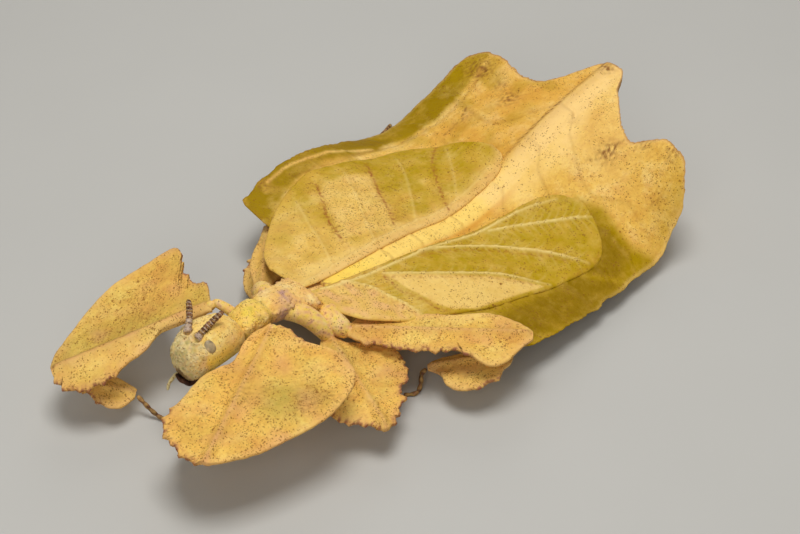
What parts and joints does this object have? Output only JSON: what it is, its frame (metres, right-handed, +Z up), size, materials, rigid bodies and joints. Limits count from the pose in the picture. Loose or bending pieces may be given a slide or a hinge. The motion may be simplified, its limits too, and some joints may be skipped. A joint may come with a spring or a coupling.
{
  "type": "leaf insect",
  "caption": "Still life-size leaf insect with leaf-shaped lobed abdomen, veined forewings and flattened lobed legs, resting on its belly and feet.",
  "frame": {"origin": "middle of the flat of the belly, on the floor", "axes": "+X towards the tail, +Z up, the insect's left side towards -Y"},
  "size_m": [0.115, 0.0667, 0.0207],
  "materials": {
    "leaf_skin": "matt yellow ochre cuticle with fine brown speckles",
    "wing_skin": "satin olive yellow cuticle with pale veins",
    "body_skin": "granular pale yellow and pinkish cuticle",
    "dark_cuticle": "dark brown hairy cuticle",
    "eye": "glossy grey faceted eye"
  },
  "bodies": {
    "root": {"abdomen": "leaf_skin", "antenna_left": "dark_cuticle", "antenna_right": "dark_cuticle", "cercus_left": "leaf_skin", "cercus_right": "leaf_skin", "coxa_fore_left": "body_skin", "coxa_fore_right": "body_skin", "coxa_hind_left": "body_skin", "coxa_hind_right": "body_skin", "coxa_mid_left": "body_skin", "coxa_mid_right": "body_skin", "eye_left": "eye", "eye_right": "eye", "femur_fore_left": "leaf_skin", "femur_fore_right": "leaf_skin", "femur_hind_left": "leaf_skin", "femur_hind_right": "leaf_skin", "femur_mid_left": "leaf_skin", "femur_mid_right": "leaf_skin", "head": "body_skin", "mesothorax": "body_skin", "metathorax": "body_skin", "mouthparts": "body_skin", "palp_left": "body_skin", "palp_right": "body_skin", "prothorax": "body_skin", "tarsus_fore_left": "dark_cuticle", "tarsus_fore_right": "dark_cuticle", "tarsus_hind_left": "dark_cuticle", "tarsus_hind_right": "dark_cuticle", "tarsus_mid_left": "dark_cuticle", "tarsus_mid_right": "dark_cuticle", "tegmen_left": "wing_skin", "tegmen_right": "wing_skin", "tibia_fore_left": "leaf_skin", "tibia_fore_right": "leaf_skin", "tibia_hind_left": "leaf_skin", "tibia_hind_right": "leaf_skin", "tibia_mid_left": "leaf_skin", "tibia_mid_right": "leaf_skin"}
  },
  "joints": []
}
